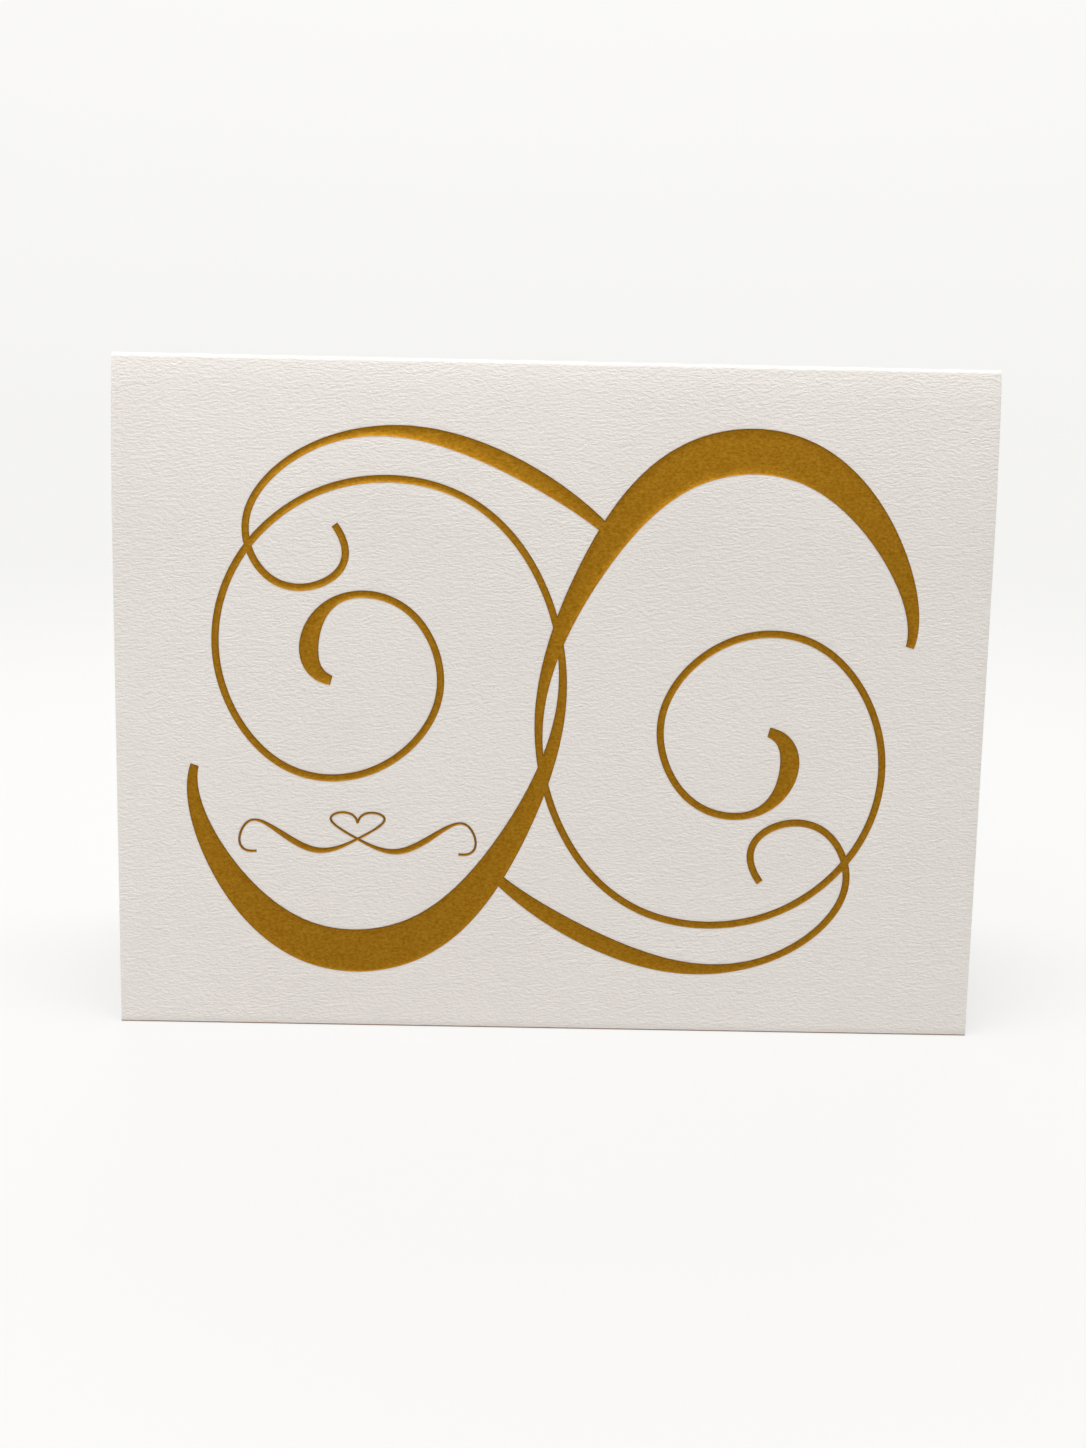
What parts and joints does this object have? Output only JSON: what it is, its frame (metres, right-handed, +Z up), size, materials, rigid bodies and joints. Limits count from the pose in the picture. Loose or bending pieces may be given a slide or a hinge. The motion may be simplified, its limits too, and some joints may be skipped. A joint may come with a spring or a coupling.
{
  "type": "greeting card",
  "caption": "Folded note card of heavy felt-textured paper that stands like a tent, with a gold foil flourish pressed into its front panel.",
  "frame": {"origin": "on the ground, under the middle of the standing card", "axes": "+X along the crease, +Y from the front panel to the back panel, +Z up; the front panel faces -Y"},
  "size_m": [0.1396, 0.0412, 0.106],
  "materials": {
    "card_stock": "matt ivory felt-marked paper",
    "gold_foil": "satin gold foil"
  },
  "bodies": {
    "root": {"folded_card": "card_stock", "foil_scroll": "gold_foil", "foil_ornament": "gold_foil"}
  },
  "joints": []
}
